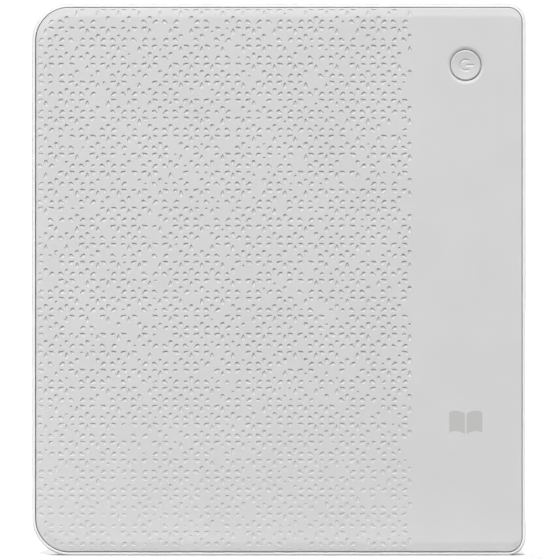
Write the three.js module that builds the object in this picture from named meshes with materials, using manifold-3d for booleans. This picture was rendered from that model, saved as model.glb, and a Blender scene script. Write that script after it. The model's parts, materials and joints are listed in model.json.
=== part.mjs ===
// A seven-inch e-reader with a thick grip along one side, two page keys on the grip and a round power button
// on its back.
//
// Millimetres, +Z up the long side of the screen. The screen faces -Y, the back cover faces +Y, and the grip
// is at -X. The origin is under the middle of the bottom edge, and the lowest face of the bezel is at z = 0.
import * as THREE from "three";
import { mergeVertices } from "three/addons/utils/BufferGeometryUtils.js";
import Module from "manifold-3d";

const wasm = await Module();
wasm.setup();

// ---------------------------------------------------------------- driving dimensions
const WIDTH = 144.6;
const HEIGHT = 161.6;
const THICKNESS = 9.0; // at the grip
const THIN_SIDE = 7.4; // over the screen
const GRIP_CORNER = 5.2; // outline radius at the grip's two corners
const THIN_CORNER = 10.9; // outline radius at the other two corners
const WINDOW = { width: 108.6, height: 143.8, margin: 8.6, radius: 1.2 }; // margin: bezel by the thin edge
const RIM = { width: 0.95, rounding: 1.1, drop: 0.8 }; // the bezel's edge round the back cover
const SEAM = 0.2; // gap between the rim and the back cover
const COVER = { wall: 1.2, chamferWidth: 2.7, chamferDrop: 0.55 };
const POWER = { fromGripEdge: 17.6, fromTop: 18.0, radius: 4.5, gap: 0.22 };
const PAGE = { width: 8.0, length: 28.0, spacing: 34.0, gap: 0.15, proud: 0.3 };
const GRIP_LAND = 6.0; // level strip along the outer edge of the grip
const USB = { z: 30.0, width: 8.94, height: 3.16, length: 7.3, wall: 0.3, inMouth: 1.0 };
const LIGHT_PIPE = { z: 42.0, radius: 0.6 };
const FIT = 0.1; // room between touching moulded parts
const LAYER = 0.05; // room between stacked sheets

// ---------------------------------------------------------------- places worked out from them
const X_GRIP = -WIDTH / 2;
const X_THIN = WIDTH / 2;
const Y_BACK = THICKNESS / 2;
const Y_GRIP = -THICKNESS / 2; // front of the grip's level strip
const Y_FRONT = Y_BACK - THIN_SIDE; // front of the bezel round the screen
const Y_RIM = Y_BACK - RIM.drop;
const windowBox = {
  x0: X_THIN - WINDOW.margin - WINDOW.width,
  x1: X_THIN - WINDOW.margin,
  z0: (HEIGHT - WINDOW.height) / 2,
  z1: (HEIGHT + WINDOW.height) / 2,
};
const WALL = 2.0; // side wall of the bezel
const LIP = 0.8; // bezel over the edge of the screen
const Y_LIP = Y_FRONT + LIP;
const Y_SHELF = 0.2; // shelf that the chassis plate is screwed to
const Y_SEAT = 2.2; // shelf that carries the seal and the back cover
const Y_GRIP_FLOOR = -1.9; // inside of the grip
const Y_COVER_INSIDE = Y_BACK - COVER.wall;
const COVER_INSET = RIM.width + SEAM;
const gripPocket = { x0: X_GRIP + 2.7, x1: windowBox.x0 - 4.6, z0: 4.0, z1: HEIGHT - 4.0 };
const screenBox = grown(windowBox, 2.5); // outline of the glass and the sheets over it
const screenPocket = grown(windowBox, 3.0);
const chassis = { inset: WALL + 0.4, y0: 0.3, y1: 0.9 };
const board = { x0: X_GRIP + 3.3, x1: 28.0, y0: 1.2, y1: 2.0, z0: 104.0, z1: 153.0 };
const boardLeg = { x1: -52.0, z0: 18.0 }; // the board's arm down the grip
const Y_CHIP = board.y1 + LAYER;
const flexNotch = { x0: -40.0, x1: 20.0, z0: screenPocket.z1 - 0.1, z1: screenPocket.z1 + 2.2 };
const powerAt = { x: X_GRIP + POWER.fromGripEdge, z: HEIGHT - POWER.fromTop };
const rampEnd = X_GRIP + GRIP_LAND;
const rampAngle = Math.atan((Y_FRONT - Y_GRIP) / (windowBox.x0 - rampEnd));
const pageX = (X_GRIP + windowBox.x0) / 2;
const pageY = Y_FRONT + (pageX - windowBox.x0) * Math.tan(rampAngle);
const pageZ = [HEIGHT / 2 + PAGE.spacing / 2, HEIGHT / 2 - PAGE.spacing / 2];
const pageBoard = { x0: -64.0, x1: -53.5, z0: 46.0, z1: 116.0, y0: -0.9, y1: -0.1 };
const usbY = board.y0 - LAYER - USB.height / 2;

// ---------------------------------------------------------------- materials
const colours = {
  white_shell: [0xf2f2ef, 0.45, 0],
  grey_cover: [0xc4c4c1, 0.6, 0],
  button_grey: [0xc8c8c5, 0.5, 0],
  screen_film: [0xd6d7d2, 0.7, 0],
  clear_guide: [0xe6ecee, 0.2, 0],
  panel_glass: [0xa9aca8, 0.3, 0],
  chassis_metal: [0x9fa2a4, 0.45, 0.9],
  board_green: [0x1f4b33, 0.5, 0],
  chip_black: [0x1b1b1d, 0.5, 0],
  tinned_steel: [0xb9bbbd, 0.35, 0.9],
  screw_steel: [0x75777a, 0.35, 1],
  silicone: [0x3a3a3c, 0.85, 0],
  foam_tape: [0x2a2a2a, 0.9, 0],
  battery_foil: [0xb8b6ae, 0.35, 0.6],
  flex_amber: [0xb5762a, 0.45, 0],
  connector_ivory: [0xe0d9c6, 0.55, 0],
  wire_red: [0xa81f1b, 0.5, 0],
  wire_black: [0x171717, 0.5, 0],
};
const materials = Object.fromEntries(
  Object.entries(colours).map(([name, [color, roughness, metalness]]) => [
    name,
    new THREE.MeshStandardMaterial({ name, color, roughness, metalness }),
  ]),
);

// ---------------------------------------------------------------- outlines
// Shapes are drawn with x to the right and z up, as the front of the reader is seen.
function grown(box, by) {
  return { x0: box.x0 - by, x1: box.x1 + by, z0: box.z0 - by, z1: box.z1 + by };
}

function cornered(box, leftRadius, rightRadius) {
  const shape = new THREE.Shape();
  const { x0, x1, z0, z1 } = box;
  shape.moveTo(x0 + leftRadius, z0);
  shape.lineTo(x1 - rightRadius, z0);
  shape.absarc(x1 - rightRadius, z0 + rightRadius, rightRadius, -Math.PI / 2, 0, false);
  shape.lineTo(x1, z1 - rightRadius);
  shape.absarc(x1 - rightRadius, z1 - rightRadius, rightRadius, 0, Math.PI / 2, false);
  shape.lineTo(x0 + leftRadius, z1);
  shape.absarc(x0 + leftRadius, z1 - leftRadius, leftRadius, Math.PI / 2, Math.PI, false);
  shape.lineTo(x0, z0 + leftRadius);
  shape.absarc(x0 + leftRadius, z0 + leftRadius, leftRadius, Math.PI, 1.5 * Math.PI, false);
  return shape;
}

function rounded(box, radius) {
  return cornered(box, radius, radius);
}

// A straight-sided shape with half-round ends, along the longer side of its box.
function pill({ x0, x1, z0, z1 }) {
  const shape = new THREE.Shape();
  const radius = Math.min(x1 - x0, z1 - z0) / 2;
  const turn = x1 - x0 > z1 - z0 ? -Math.PI / 2 : 0;
  shape.absarc(x1 - radius, z1 - radius, radius, turn, turn + Math.PI, false);
  shape.absarc(x0 + radius, z0 + radius, radius, turn + Math.PI, turn + 2 * Math.PI, false);
  return shape;
}

// The reader's outline, drawn in from its edge.
function outline(inset) {
  const box = { x0: X_GRIP + inset, x1: X_THIN - inset, z0: inset, z1: HEIGHT - inset };
  return cornered(box, GRIP_CORNER - inset, THIN_CORNER - inset);
}

function centred(x, z, width, height) {
  return { x0: x - width / 2, x1: x + width / 2, z0: z - height / 2, z1: z + height / 2 };
}

// ---------------------------------------------------------------- geometry
// A sheet with that outline between two depths. A bevel, as [width, depth, steps], rounds the edges of both
// faces.
function sheet(shape, y0, y1, arcSteps = 4, bevel = null) {
  const [width, depth, steps] = bevel ?? [0, 0, 0];
  const geometry = new THREE.ExtrudeGeometry(shape, {
    depth: y1 - y0 - 2 * depth,
    curveSegments: arcSteps,
    bevelEnabled: bevel !== null,
    bevelSize: width,
    bevelOffset: -width,
    bevelThickness: depth,
    bevelSegments: steps,
  });
  return geometry.rotateX(Math.PI / 2).translate(0, y1 - depth, 0);
}

function block(box, y0, y1) {
  const geometry = new THREE.BoxGeometry(box.x1 - box.x0, y1 - y0, box.z1 - box.z0);
  return geometry.translate((box.x0 + box.x1) / 2, (y0 + y1) / 2, (box.z0 + box.z1) / 2);
}

function cylinder(radius, y0, y1, x, z, sides = 20) {
  return new THREE.CylinderGeometry(radius, radius, y1 - y0, sides).translate(x, (y0 + y1) / 2, z);
}

// A solid turned round a line along Y through x and z. Its profile is a list of [radius, y] that starts and
// ends on the axis.
function turned(profile, x, z, sides = 24) {
  const points = profile.map(([radius, y]) => new THREE.Vector2(radius, y));
  return new THREE.LatheGeometry(points, sides).translate(x, 0, z);
}

// A prism along Z whose section is drawn in x and y.
function barAlongZ(points, z0, z1) {
  const shape = new THREE.Shape(points.map(([x, y]) => new THREE.Vector2(x, y)));
  return new THREE.ExtrudeGeometry(shape, { depth: z1 - z0, bevelEnabled: false }).translate(0, 0, z0);
}

// A pill-ended bar along X, as wide as its box in z and as tall as its y range.
function pillAlongX(x0, x1, y, z, width, height) {
  const geometry = new THREE.ExtrudeGeometry(pill(centred(0, 0, height, width)), {
    depth: x1 - x0,
    bevelEnabled: false,
    curveSegments: 6,
  });
  return geometry.rotateX(Math.PI / 2).rotateZ(Math.PI / 2).translate(x0, y, z);
}

// The section of a thin strip that follows a path of [across, y] points.
function stripSection(path, thickness) {
  const offsets = path.map(([across, y], i) => {
    const before = path[Math.max(i - 1, 0)];
    const after = path[Math.min(i + 1, path.length - 1)];
    const into = new THREE.Vector2(across - before[0], y - before[1]).normalize();
    const out = new THREE.Vector2(after[0] - across, after[1] - y).normalize();
    const along = into.clone().add(out).normalize();
    const reach = thickness / 2 / along.dot(i > 0 ? into : out);
    return new THREE.Vector2(-along.y, along.x).multiplyScalar(reach);
  });
  const side = (sign) =>
    path.map(([across, y], i) => [across + sign * offsets[i].x, y + sign * offsets[i].y]);
  return [...side(1), ...side(-1).reverse()];
}

// ---------------------------------------------------------------- solids
function solid(geometry) {
  const bare = geometry.index ? geometry.toNonIndexed() : geometry.clone();
  bare.deleteAttribute("normal");
  bare.deleteAttribute("uv");
  const merged = mergeVertices(bare, 1e-4);
  const vertProperties = merged.attributes.position.array;
  const triVerts = new Uint32Array(merged.index.array);
  const made = new wasm.Manifold(new wasm.Mesh({ numProp: 3, vertProperties, triVerts }));
  if (made.volume() > 0) return made;
  // A mirrored geometry is inside out, so its triangles are turned over.
  for (let i = 0; i < triVerts.length; i += 3) {
    [triVerts[i + 1], triVerts[i + 2]] = [triVerts[i + 2], triVerts[i + 1]];
  }
  return new wasm.Manifold(new wasm.Mesh({ numProp: 3, vertProperties, triVerts }));
}

function geometryOf(manifold) {
  const mesh = manifold.getMesh();
  const positions = new Float32Array(mesh.numVert * 3);
  for (let i = 0; i < mesh.numVert; i++) {
    positions.set(mesh.vertProperties.subarray(i * mesh.numProp, i * mesh.numProp + 3), i * 3);
  }
  const geometry = new THREE.BufferGeometry();
  geometry.setAttribute("position", new THREE.BufferAttribute(positions, 3));
  geometry.setIndex(new THREE.BufferAttribute(mesh.triVerts, 1));
  const faceted = geometry.toNonIndexed();
  faceted.computeVertexNormals();
  return faceted;
}

function cut(from, ...tools) {
  return geometryOf(tools.reduce((rest, tool) => rest.subtract(solid(tool)), solid(from)));
}

function joined(first, ...others) {
  return geometryOf(others.reduce((sum, other) => sum.add(solid(other)), solid(first)));
}

function common(a, b) {
  return geometryOf(solid(a).intersect(solid(b)));
}

const reader = new THREE.Group();
function add(name, material, geometry, parent = reader) {
  const mesh = new THREE.Mesh(geometry, materials[material]);
  mesh.name = name;
  parent.add(mesh);
  return mesh;
}

// ---------------------------------------------------------------- front bezel
// Places of the fasteners, as [x, z].
const chassisScrews = [
  [-66, 156], [40, 157.8], [68.4, 80.8], [30, 3.8], [-66, 11],
];
const boardScrews = [
  [-64, 148], [24, 149], [-58, 60],
];
const SCREW = { head: 1.3, headHeight: 0.5, shank: 0.7 };

// The space of a page key, in the tilted frame of the grip: an outline between two depths under the surface.
function pageSpace(extra, from, to) {
  return sheet(pill(centred(0, 0, PAGE.width + extra, PAGE.length + extra)), from, to, 7);
}

function placedOnGrip(geometry, z) {
  return geometry.rotateZ(rampAngle).translate(pageX, pageY, z);
}

function bezelBody() {
  const edge = [RIM.width, RIM.rounding, 3];
  const overScreen = sheet(outline(0), Y_FRONT, Y_RIM, 5, edge);
  const overGrip = sheet(outline(0), Y_GRIP, Y_RIM, 5, edge);
  const ramp = barAlongZ(
    [
      [X_GRIP - 1, Y_GRIP],
      [rampEnd, Y_GRIP],
      [windowBox.x0, Y_FRONT],
      [windowBox.x0, Y_RIM + 1],
      [X_GRIP - 1, Y_RIM + 1],
    ],
    -1,
    HEIGHT + 1,
  );
  return joined(overScreen, common(overGrip, ramp));
}

function frontBezel() {
  const postAt = chassisScrews.filter(([x]) => x < gripPocket.x1);
  const hollow = cut(
    bezelBody(),
    sheet(rounded(windowBox, WINDOW.radius), Y_FRONT - 1, Y_SHELF),
    sheet(rounded(screenPocket, 1.5), Y_LIP, Y_SHELF + 1),
    sheet(rounded(gripPocket, 2.0), Y_GRIP_FLOOR, Y_SHELF + 1),
    sheet(outline(WALL), Y_SHELF, Y_SEAT + 1),
    sheet(outline(RIM.width), Y_SEAT, Y_RIM + 1, 5),
    block(flexNotch, Y_LIP + 0.2, Y_SHELF + 1),
    block(centred(X_GRIP + 6, USB.z, 8, USB.width + 2), usbY - USB.height / 2 - 0.3, Y_SHELF + 1),
  );
  const posts = postAt.map(([x, z]) => cylinder(2.2, Y_GRIP_FLOOR - 0.2, Y_SHELF, x, z));
  return cut(
    joined(hollow, ...posts),
    ...pageZ.flatMap((z) => [
      placedOnGrip(pageSpace(2 * PAGE.gap, -2, 1.6), z),
      placedOnGrip(pageSpace(2.6, 1.25, 3), z),
    ]),
    pillAlongX(X_GRIP - 1, X_GRIP + WALL + 2, usbY, USB.z, USB.width + 0.7, USB.height + 0.7),
    cylinder(LIGHT_PIPE.radius + FIT, -2, WALL + 1.5, 0, 0, 16)
      .rotateZ(-Math.PI / 2)
      .translate(X_GRIP, usbY, LIGHT_PIPE.z),
    ...chassisScrews.map(([x, z]) => cylinder(SCREW.shank + FIT, Y_SHELF - 1.9, Y_SHELF + 1, x, z, 14)),
  );
}
add("front_bezel", "white_shell", frontBezel());

// ---------------------------------------------------------------- back cover
// Snap hooks inside the cover's skirt, as [x, z, length along x, length along z].
const HOOK = { length: 6, thick: 0.8, reach: 1.2 };
const hookInset = WALL + FIT + HOOK.thick / 2;
const hooks = [
  ...[-40, 10, 55].map((x) => [x, hookInset, HOOK.length, HOOK.thick]),
  ...[-40, 10, 55].map((x) => [x, HEIGHT - hookInset, HOOK.length, HOOK.thick]),
  ...[62, 112].map((z) => [X_GRIP + hookInset, z, HOOK.thick, HOOK.length]),
  ...[26, 80.8, 134].map((z) => [X_THIN - hookInset, z, HOOK.thick, HOOK.length]),
];
const Y_SKIRT = Y_SEAT + 0.4;

function snapHook([x, z, across, along]) {
  return block(centred(x, z, across, along), Y_SKIRT - HOOK.reach, Y_SKIRT + 0.2);
}

function backCover() {
  const faces = [COVER.chamferWidth, COVER.chamferDrop, 1];
  const slab = sheet(outline(COVER_INSET), Y_SKIRT - COVER.chamferDrop, Y_BACK, 6, faces);
  const hole = POWER.radius + POWER.gap;
  return cut(
    joined(
      cut(
        slab,
        block({ x0: -WIDTH, x1: WIDTH, z0: -HEIGHT, z1: 2 * HEIGHT }, -THICKNESS, Y_SKIRT),
        sheet(outline(COVER_INSET + 2.0), Y_SKIRT - 2, Y_COVER_INSIDE),
      ),
      ...hooks.map(snapHook),
    ),
    turned(
      [
        [0, Y_COVER_INSIDE - 1],
        [hole, Y_COVER_INSIDE - 1],
        [hole, Y_BACK - 0.22],
        [hole + 0.9, Y_BACK],
        [hole + 0.9, Y_BACK + 1],
        [0, Y_BACK + 1],
      ],
      powerAt.x,
      powerAt.z,
      32,
    ),
  );
}
add("back_cover", "grey_cover", backCover());

function ring(outer, inner, y0, y1, arcSteps = 4) {
  return cut(sheet(outer, y0, y1, arcSteps), sheet(inner, y0 - 1, y1 + 1, arcSteps));
}
add(
  "perimeter_seal",
  "silicone",
  ring(outline(COVER_INSET), outline(WALL - FIT), Y_SEAT + LAYER, Y_SKIRT - LAYER),
);

// ---------------------------------------------------------------- screen, from the front backwards
const screenOutline = rounded(screenBox, 0.8);
add(
  "screen_gasket",
  "foam_tape",
  ring(screenOutline, rounded(grown(windowBox, 0.6), 1.2), Y_LIP + LAYER, Y_LIP + 0.3, 2),
);
add("touch_panel", "screen_film", sheet(screenOutline, Y_LIP + 0.35, Y_LIP + 0.85, 2));
const guideBox = { ...screenBox, z1: screenBox.z1 - 1.4 };
add("frontlight_guide", "clear_guide", sheet(rounded(guideBox, 0.8), Y_LIP + 0.9, Y_LIP + 1.3, 2));
const ledStrip = { x0: -43, x1: 62, z0: guideBox.z1 + FIT, z1: screenBox.z1 };
add("frontlight_strip", "flex_amber", block(ledStrip, Y_LIP + 0.95, Y_LIP + 1.25));
add("display_panel", "panel_glass", sheet(screenOutline, Y_LIP + 1.35, Y_LIP + 2.2, 2));
add("panel_tape", "foam_tape", block(grown(windowBox, -6), Y_LIP + 2.22, chassis.y0 - 0.02));

// ---------------------------------------------------------------- chassis plate
function chassisPlate() {
  const plate = cut(
    sheet(outline(chassis.inset), chassis.y0, chassis.y1),
    block({ ...flexNotch, x0: flexNotch.x0 - 1, x1: flexNotch.x1 + 1, z1: HEIGHT }, -1, 2),
    block({ x0: X_GRIP, x1: X_GRIP + 9.2, z0: USB.z - 6, z1: USB.z + 6 }, -1, 2),
    block({ x0: -51.3, x1: -49.9, z0: 91.5, z1: 98.5 }, -1, 2),
    block(centred(X_GRIP + 3.4, LIGHT_PIPE.z, 3.4, 3), -1, 2),
  );
  const posts = boardScrews.map(([x, z]) => cylinder(1.9, chassis.y1 - 0.2, board.y0 - LAYER, x, z, 16));
  return cut(
    joined(plate, ...posts),
    ...chassisScrews.map(([x, z]) => cylinder(SCREW.shank + 0.15, -1, 2, x, z, 14)),
    ...boardScrews.map(([x, z]) => cylinder(SCREW.shank + FIT, -1, 2, x, z, 14)),
  );
}
add("chassis_plate", "chassis_metal", chassisPlate());

// A pan-head screw driven towards -Y, with a cross recess; y is the face that its head rests on.
function screw(x, z, y, length) {
  const body = turned(
    [
      [0, y - length],
      [SCREW.shank - 0.2, y - length],
      [SCREW.shank, y - length + 0.2],
      [SCREW.shank, y],
      [SCREW.head, y],
      [SCREW.head, y + SCREW.headHeight - 0.15],
      [SCREW.head - 0.3, y + SCREW.headHeight],
      [0, y + SCREW.headHeight],
    ],
    x,
    z,
    14,
  );
  const slot = (width, height) => block(centred(x, z, width, height), y + 0.2, y + 2);
  return cut(body, slot(1.5, 0.34), slot(0.34, 1.5));
}
chassisScrews.forEach(([x, z], i) =>
  add(`chassis_screw_${i + 1}`, "screw_steel", screw(x, z, chassis.y1 + LAYER, 2.2)),
);

// ---------------------------------------------------------------- main board and what is on it
function mainBoard() {
  const { x0, x1, y0, y1, z0, z1 } = board;
  const corners = [
    [x0, boardLeg.z0],
    [boardLeg.x1, boardLeg.z0],
    [boardLeg.x1, z0],
    [x1, z0],
    [x1, z1],
    [x0 + 4, z1],
    [x0 + 4, z1 - 3],
    [x0, z1 - 3],
  ];
  const shape = new THREE.Shape(corners.map(([x, z]) => new THREE.Vector2(x, z)));
  return cut(
    sheet(shape, y0, y1),
    ...boardScrews.map(([x, z]) => cylinder(SCREW.shank + 0.15, 0, 3, x, z, 14)),
    block(centred(x0, LIGHT_PIPE.z, 3, 3), 0, 3),
  );
}
add("main_board", "board_green", mainBoard());
boardScrews.forEach(([x, z], i) =>
  add(`board_screw_${i + 1}`, "screw_steel", screw(x, z, board.y1 + LAYER, 1.6)),
);

function onBoard(name, material, x, z, width, height, thickness) {
  add(name, material, block(centred(x, z, width, height), Y_CHIP, Y_CHIP + thickness));
}
const can = centred(-28, 122, 26, 20);
add(
  "processor_shield",
  "tinned_steel",
  cut(
    sheet(rounded(can, 0.8), Y_CHIP, Y_CHIP + 1.05, 2),
    block(grown(can, -0.25), Y_CHIP - 1, Y_CHIP + 0.85),
  ),
);
onBoard("processor", "chip_black", -33, 122, 13, 13, 0.7);
onBoard("memory_chip", "chip_black", -20.5, 122, 9, 11, 0.7);
onBoard("flash_chip", "chip_black", -5, 120, 11.5, 13, 0.8);
onBoard("power_management_chip", "chip_black", 9, 115, 6, 6, 0.7);
onBoard("wireless_module", "tinned_steel", 20.5, 126, 12, 12, 1.0);
onBoard("cover_sensor", "chip_black", 22, 109, 2.9, 1.6, 0.9);
onBoard("battery_connector", "connector_ivory", 4, 106.4, 7, 3.6, 1.0);
onBoard("screen_connector", "chip_black", -11, 146, 26, 3.4, 0.35);
onBoard("touch_connector", "chip_black", 13, 146, 9, 3.4, 0.35);
onBoard("frontlight_connector", "chip_black", -33, 146, 6, 3.4, 0.35);
onBoard("page_key_connector", "chip_black", -55.6, 95, 3.4, 6, 0.35);

// ---------------------------------------------------------------- flexible circuits
const FLEX = 0.15;
const Y_FLEX = Y_CHIP + 0.35 + LAYER + FLEX / 2;
const flexTurn = screenPocket.z1 + 1.2;
function screenFlex(name, x0, width, y) {
  const path = [
    [screenBox.z1 + FIT, y],
    [flexTurn - 0.4, y],
    [flexTurn, y + 0.4],
    [flexTurn, Y_FLEX - 0.4],
    [flexTurn - 0.4, Y_FLEX],
    [145, Y_FLEX],
  ];
  add(name, "flex_amber", barAlongZ(stripSection(path, FLEX), -x0 - width, -x0).rotateY(-Math.PI / 2));
}
screenFlex("screen_flex", -23, 24, Y_LIP + 1.8);
screenFlex("touch_flex", 9.5, 7, Y_LIP + 0.6);
screenFlex("frontlight_flex", -35, 4, Y_LIP + 1.1);
const keyFlexPath = [
  [-58, 0.06], [-51, 0.06], [-50.6, 0.45], [-50.6, Y_FLEX - 0.4], [-51, Y_FLEX], [-56.5, Y_FLEX],
];
add("page_key_flex", "flex_amber", barAlongZ(stripSection(keyFlexPath, FLEX), 92.5, 97.5));

// ---------------------------------------------------------------- battery
const cell = { x0: -34, x1: 60, z0: 12, z1: 80 };
const cellY = [1.15, 3.2];
add("battery_tape", "foam_tape", block(grown(cell, -5), chassis.y1 + 0.04, cellY[0] - 0.04));
add("battery", "battery_foil", sheet(rounded(cell, 1.5), ...cellY, 2, [0.6, 0.6, 2]));
add("battery_guard_board", "chip_black", block(centred(4, 82.4, 34, 3.6), cellY[0] + 0.1, 2.5));
function wire(name, material, x) {
  const route = [
    [x, 84.35],
    [x, 88],
    [x + 1.2, 94],
    [x, 100],
    [x, 104.5],
  ];
  const extrudePath = new THREE.CatmullRomCurve3(route.map(([px, z]) => new THREE.Vector3(px, 2.5, z)));
  const section = new THREE.Shape().absarc(0, 0, 0.4, 0, 2 * Math.PI, false);
  const options = { steps: 12, curveSegments: 4, extrudePath, bevelEnabled: false };
  add(name, material, new THREE.ExtrudeGeometry(section, options));
}
wire("battery_wire_positive", "wire_red", 2);
wire("battery_wire_negative", "wire_black", 5);

// ---------------------------------------------------------------- USB-C socket and status light, in the grip
const mouth = X_GRIP + USB.inMouth;
const usbInside = { width: USB.width - 2 * USB.wall, height: USB.height - 2 * USB.wall };
add(
  "usb_shell",
  "tinned_steel",
  cut(
    pillAlongX(mouth, mouth + USB.length, usbY, USB.z, USB.width, USB.height),
    pillAlongX(mouth - 1, mouth + USB.length + 1, usbY, USB.z, usbInside.width, usbInside.height),
  ),
);
const insert = { width: usbInside.width - 0.1, height: usbInside.height - 0.1 };
add(
  "usb_tongue",
  "chip_black",
  joined(
    pillAlongX(mouth + 5.8, mouth + USB.length, usbY, USB.z, insert.width, insert.height),
    block(centred(mouth + 3.4, USB.z, 5, 6.7), usbY - 0.35, usbY + 0.35),
  ),
);
add(
  "usb_seal",
  "silicone",
  cut(
    pillAlongX(mouth + 0.2, mouth + 1.0, usbY, USB.z, USB.width + 0.6, USB.height + 0.6),
    pillAlongX(mouth - 1, mouth + 2, usbY, USB.z, USB.width + 0.1, USB.height + 0.1),
  ),
);
add(
  "light_pipe",
  "clear_guide",
  cylinder(LIGHT_PIPE.radius, 0.05, WALL + 0.7, 0, 0, 16)
    .rotateZ(-Math.PI / 2)
    .translate(X_GRIP, usbY, LIGHT_PIPE.z),
);
const ledBox = centred(X_GRIP + 3.5, LIGHT_PIPE.z, 1.2, 1.6);
add("status_led", "connector_ivory", block(ledBox, usbY - 0.4, board.y0 - 0.1));

// ---------------------------------------------------------------- antenna and sleep-cover magnets
const antennaBox = { x0: 44, x1: 62, z0: 140, z1: 152 };
add("antenna", "flex_amber", block(antennaBox, chassis.y1 + 0.04, chassis.y1 + 0.24));
[48, 112].forEach((z, i) => {
  const magnet = block(centred(67.6, z, 2.4, 12), chassis.y1 + LAYER, chassis.y1 + 1.1);
  add(`cover_magnet_${i + 1}`, "tinned_steel", magnet);
});

// ---------------------------------------------------------------- power button, its seal and its switch
const SWITCH = { height: 0.7, well: 0.95, plunger: 0.8 };
function switchBody(x, z, y, towards) {
  const [near, far] = [y, y + towards * SWITCH.height];
  const body = block(centred(x, z, 3.4, 3.0), Math.min(near, far), Math.max(near, far));
  const wellEnd = y + towards * 0.12;
  const beyond = far + towards;
  return cut(body, cylinder(SWITCH.well, Math.min(wellEnd, beyond), Math.max(wellEnd, beyond), x, z, 16));
}
add("power_switch", "tinned_steel", switchBody(powerAt.x, powerAt.z, Y_CHIP, 1));
const plungerTop = 3.1;
add(
  "power_switch_plunger",
  "chip_black",
  cylinder(SWITCH.plunger, 2.55, plungerTop, powerAt.x, powerAt.z, 16),
);
const capTop = Y_BACK - 0.25;
const hollowTop = Y_COVER_INSIDE + 0.15;
add(
  "power_button",
  "button_grey",
  turned(
    [
      [0, plungerTop + LAYER],
      [SWITCH.plunger, plungerTop + LAYER],
      [SWITCH.plunger, hollowTop],
      [3.6, hollowTop],
      [3.6, 2.85],
      [POWER.radius + 0.8, 2.85],
      [POWER.radius + 0.8, Y_COVER_INSIDE - FIT],
      [POWER.radius, Y_COVER_INSIDE - FIT],
      [POWER.radius, capTop - 0.1],
      [POWER.radius - 0.15, capTop],
      [POWER.radius - 0.4, capTop],
      [POWER.radius - 1.5, capTop - 0.14],
      [POWER.radius - 3.0, capTop - 0.23],
      [0, capTop - 0.25],
    ],
    powerAt.x,
    powerAt.z,
    36,
  ),
);
add(
  "power_button_seal",
  "silicone",
  cut(
    cylinder(POWER.radius + 2.4, 2.9, Y_COVER_INSIDE - LAYER, powerAt.x, powerAt.z, 28),
    cylinder(POWER.radius + 1.0, 2, 4, powerAt.x, powerAt.z, 28),
  ),
);

// ---------------------------------------------------------------- page keys, their switches and board
add("page_key_board", "board_green", block(pageBoard, pageBoard.y0, pageBoard.y1));
["upper", "lower"].forEach((which, i) => {
  const z = pageZ[i];
  const frame = new THREE.Group();
  frame.position.set(pageX, pageY, z);
  frame.rotation.z = rampAngle;
  reader.add(frame);
  const cap = sheet(pill(centred(0, 0, PAGE.width, PAGE.length)), -PAGE.proud, 1.5, 7, [0.35, 0.35, 2]);
  const flange = pageSpace(1.6, 1.35, 1.6);
  add(`page_key_${which}`, "button_grey", joined(cap, flange), frame);
  const switchY = pageBoard.y0 - LAYER;
  add(`page_switch_${which}`, "tinned_steel", switchBody(pageX, z, switchY, -1));
  add(
    `page_switch_plunger_${which}`,
    "chip_black",
    cylinder(SWITCH.plunger, pageY + 1.72, switchY - 0.55, pageX, z, 16),
  );
});

export default reader;
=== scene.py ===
"""The looks of a seven-inch e-reader: its grip, its page keys, and the petals and power button on its back.

Sizes are in millimetres in the CAD frame: X across, Y through the reader, Z up. Meshes are made in metres.
The screen faces -Y, the back cover faces +Y and the thick grip is at -X.
"""

import json
import math
import random

import bmesh
import bpy
import numpy as np
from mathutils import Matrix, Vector, geometry

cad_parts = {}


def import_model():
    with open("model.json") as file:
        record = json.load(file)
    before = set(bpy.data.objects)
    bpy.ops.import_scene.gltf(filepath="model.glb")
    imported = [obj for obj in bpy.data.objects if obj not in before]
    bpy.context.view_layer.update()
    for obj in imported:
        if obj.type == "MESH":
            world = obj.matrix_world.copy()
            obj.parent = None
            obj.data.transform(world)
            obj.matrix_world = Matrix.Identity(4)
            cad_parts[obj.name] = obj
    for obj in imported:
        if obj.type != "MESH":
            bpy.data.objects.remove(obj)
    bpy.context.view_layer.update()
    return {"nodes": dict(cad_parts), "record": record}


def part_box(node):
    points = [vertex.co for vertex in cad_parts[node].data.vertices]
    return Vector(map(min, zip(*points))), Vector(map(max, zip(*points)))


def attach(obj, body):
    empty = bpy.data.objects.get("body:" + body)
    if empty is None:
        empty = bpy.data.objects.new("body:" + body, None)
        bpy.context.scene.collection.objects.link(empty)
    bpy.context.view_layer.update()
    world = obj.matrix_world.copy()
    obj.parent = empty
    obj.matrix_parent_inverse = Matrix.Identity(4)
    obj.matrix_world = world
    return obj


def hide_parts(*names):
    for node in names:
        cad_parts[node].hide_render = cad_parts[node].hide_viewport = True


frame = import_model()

MM = 0.001


# ---------------------------------------------------------------- sizes
def box_mm(node):
    """The low and high corners of a CAD node's box."""
    low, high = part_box(node)
    return low / MM, high / MM


bezel_low, bezel_high = box_mm("front_bezel")
cover_low, cover_high = box_mm("back_cover")
panel_low, panel_high = box_mm("touch_panel")
button_low, button_high = box_mm("power_button")
plunger_low, plunger_high = box_mm("power_switch_plunger")
socket_low, socket_high = box_mm("usb_shell")
pipe_low, pipe_high = box_mm("light_pipe")

THIN_SIDE = 7.4  # the reader's thickness over the screen
GRIP_CORNER = 5.2  # outline radius at the grip's two corners
THIN_CORNER = 10.9  # outline radius at the other two corners
GRIP_LAND = 6.0  # level strip along the outer edge of the grip
WALL = 2.0  # side wall of the bezel
LIP = 0.8  # the bezel over the edge of the touch panel
LIP_LAP = 2.5  # how far it reaches over that edge
SEAM = 0.2  # gap between the bezel's rim and the back cover
COVER_WALL = 1.2
HOOK_REACH = 1.2  # the cover's hooks reach this far below its skirt

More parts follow.
